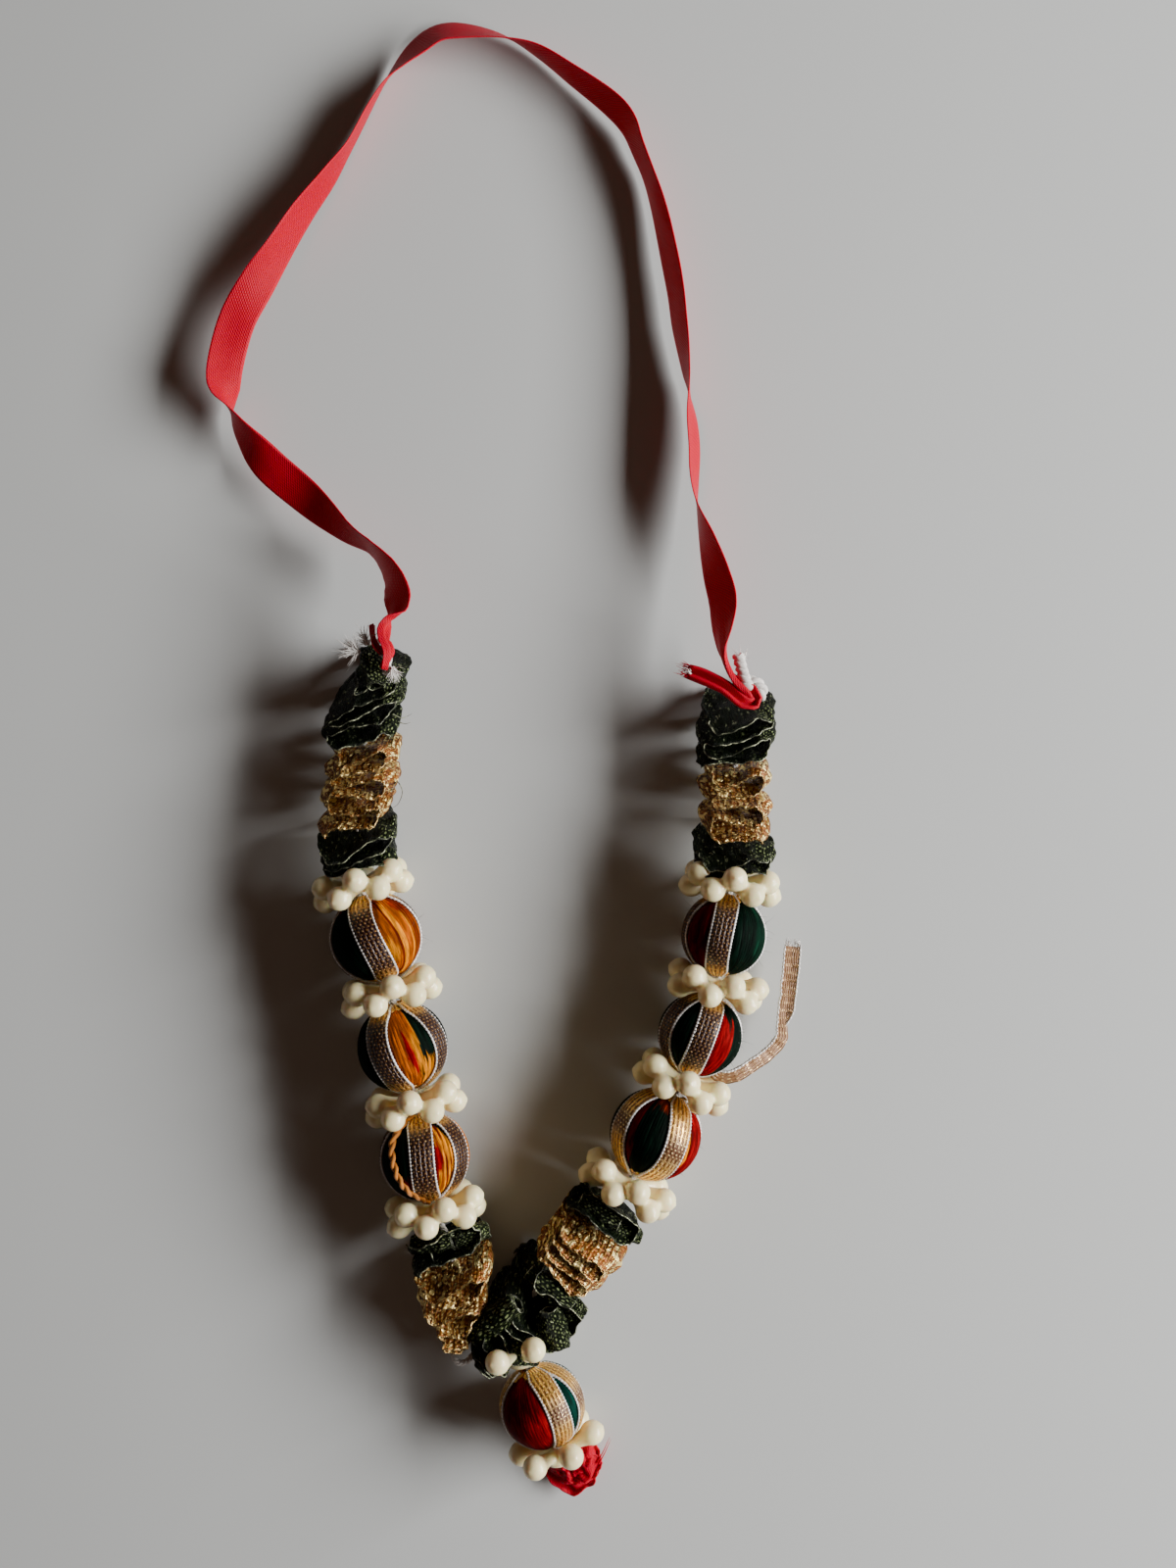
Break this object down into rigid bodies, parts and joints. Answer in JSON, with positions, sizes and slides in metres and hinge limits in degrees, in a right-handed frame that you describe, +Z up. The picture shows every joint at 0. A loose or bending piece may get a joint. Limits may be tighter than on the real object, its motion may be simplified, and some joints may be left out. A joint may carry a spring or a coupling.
{
  "type": "beaded ribbon garland",
  "caption": "Small V-shaped garland of pleated ribbon frills, wool balls with gold strips and moulded star spacers on a cord, with a pendant ball and a red ribbon loop.",
  "frame": {"origin": "middle of the garland's bottom, on the surface it lies on, measured without the free ribbon loop", "axes": "+Z up from the surface, +Y up the strands towards the ribbon loop, +X to the right strand"},
  "size_m": [0.0972, 0.247, 0.0167],
  "materials": {
    "satin_green": "dark green satin ribbon, soft sheen",
    "lurex_gold": "woven metallic ribbon, glittering",
    "ivory_plastic": "moulded ivory plastic, soft gloss",
    "wool_green": "felted wool, matt",
    "wool_orange": "felted wool, matt",
    "wool_red": "felted wool, matt",
    "wool_teal": "felted wool, matt",
    "strip_gold": "woven metallic strip with pale edges",
    "core_bead": "plain turned bead, unpainted",
    "cotton_white": "twisted cotton, matt",
    "satin_red": "red satin ribbon, soft sheen"
  },
  "bodies": {
    "root": {"frill_left_1_green": "satin_green", "frill_left_3_green": "satin_green", "frill_left_4_green": "satin_green", "frill_centre_green": "satin_green", "frill_right_1_green": "satin_green", "frill_right_3_green": "satin_green", "frill_right_4_green": "satin_green", "frill_left_2_gold": "lurex_gold", "frill_left_5_gold": "lurex_gold", "frill_right_2_gold": "lurex_gold", "frill_right_5_gold": "lurex_gold", "spacer_left_1": "ivory_plastic", "spacer_left_2": "ivory_plastic", "spacer_left_3": "ivory_plastic", "spacer_left_4": "ivory_plastic", "spacer_right_1": "ivory_plastic", "spacer_right_2": "ivory_plastic", "spacer_right_3": "ivory_plastic", "spacer_right_4": "ivory_plastic", "spacer_pendant_top": "ivory_plastic", "spacer_pendant_foot": "ivory_plastic", "ball_left_1_core": "core_bead", "ball_left_1_strips": "strip_gold", "ball_left_1_wool_green": "wool_green", "ball_left_1_wool_orange": "wool_orange", "ball_left_2_core": "core_bead", "ball_left_2_strips": "strip_gold", "ball_left_2_wool_green": "wool_green", "ball_left_2_wool_orange": "wool_orange", "ball_left_3_core": "core_bead", "ball_left_3_strips": "strip_gold", "ball_left_3_wool_green": "wool_green", "ball_left_3_wool_orange": "wool_orange", "ball_right_1_core": "core_bead", "ball_right_1_strips": "strip_gold", "ball_right_1_wool_green": "wool_green", "ball_right_1_wool_red": "wool_red", "ball_right_2_core": "core_bead", "ball_right_2_strips": "strip_gold", "ball_right_2_wool_green": "wool_green", "ball_right_2_wool_red": "wool_red", "ball_right_3_core": "core_bead", "ball_right_3_strips": "strip_gold", "ball_right_3_wool_green": "wool_green", "ball_right_3_wool_red": "wool_red", "ball_pendant_core": "core_bead", "ball_pendant_strips": "strip_gold", "ball_pendant_wool_red": "wool_red", "ball_pendant_wool_teal": "wool_teal", "strand_cord": "cotton_white", "pendant_cord": "cotton_white", "loop_ribbon": "satin_red", "pendant_knot": "satin_red"}
  },
  "joints": []
}
